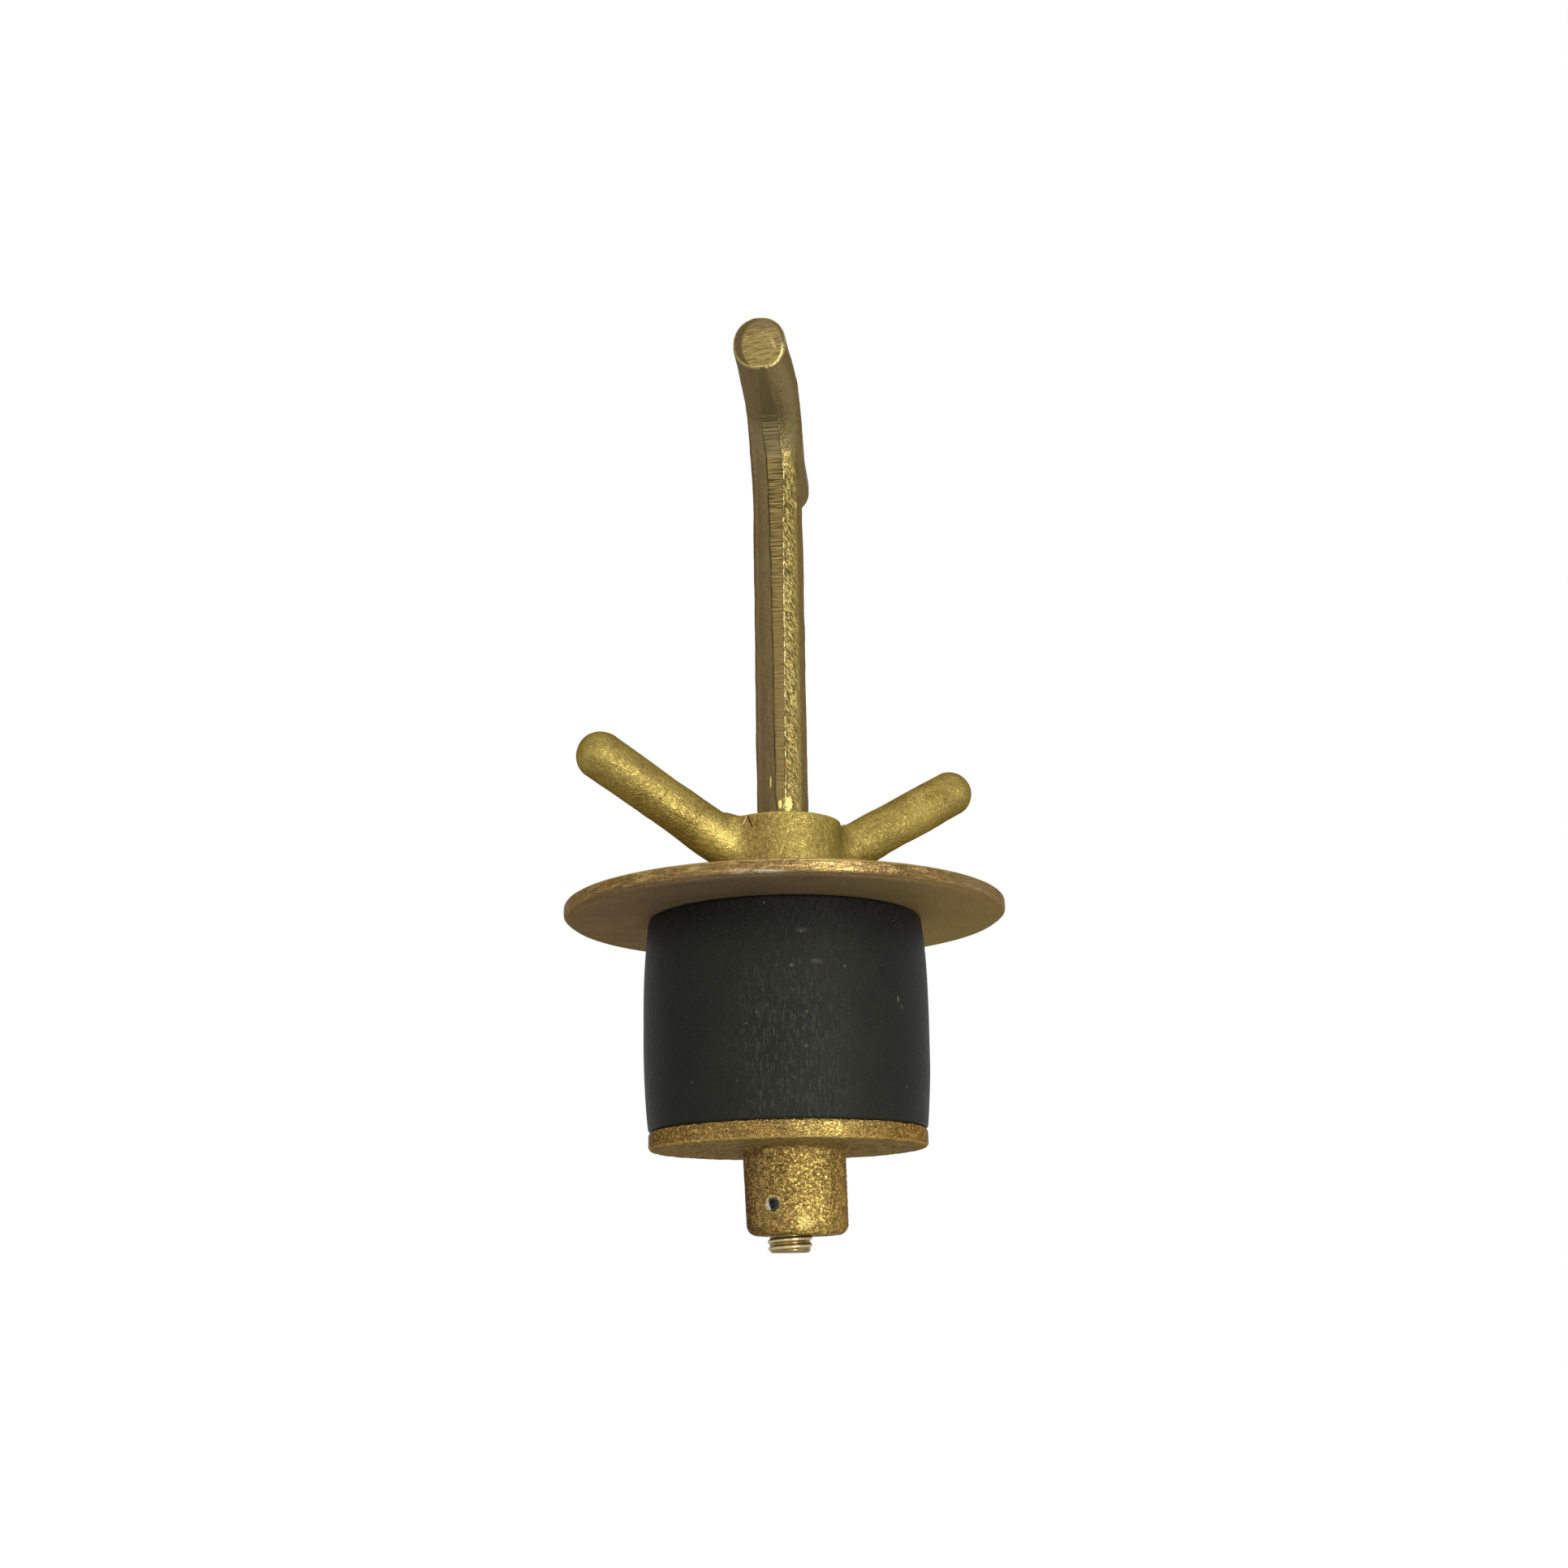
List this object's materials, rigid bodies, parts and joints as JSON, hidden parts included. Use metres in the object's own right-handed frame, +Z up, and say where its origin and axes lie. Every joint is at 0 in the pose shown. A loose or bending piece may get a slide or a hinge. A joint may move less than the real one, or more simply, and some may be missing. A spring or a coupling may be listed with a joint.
{
  "type": "expanding scupper plug",
  "caption": "Expanding scupper plug: round cover on the deck, rubber sleeve squeezed by a threaded spindle with a cross handle and a wing nut.",
  "frame": {"origin": "centre of the cover's underside, the face that seats on the deck, on the spindle's axis", "axes": "+Z up the spindle from the deck seat to the handle, Y along the handle's cross bar, +X to its side"},
  "size_m": [0.0812, 0.0812, 0.1652],
  "materials": {
    "cover_brass": "turned, worn and lightly tarnished",
    "sleeve_rubber": "matt moulded, dusty",
    "collar_brass": "coarse sand cast",
    "handle_brass": "sand cast, tarnished, filed along the parting line",
    "nut_brass": "fine sand cast",
    "screw_steel": "dull machined"
  },
  "bodies": {
    "cover": {"cover_flange": "cover_brass", "rubber_sleeve": "sleeve_rubber"},
    "spindle": {"handle_spindle": "handle_brass", "base_collar": "collar_brass", "set_screw": "screw_steel"},
    "nut": {"wing_nut": "nut_brass"}
  },
  "joints": [
    {"name": "wing_nut_turn", "type": "hinge", "parent": "cover", "child": "nut", "pos_m": [0, 0, 0], "axis": [0, 0, 1], "range_deg": [-1350, 0]},
    {"name": "spindle_lift", "type": "slide", "parent": "cover", "child": "spindle", "axis": [0, 0, 1], "range_m": [0, 0.00562], "deforming": ["rubber_sleeve"]}
  ],
  "couplings": [
    {"joint": "wing_nut_turn", "follows": "spindle_lift", "rad_per_m": -4188.8}
  ]
}
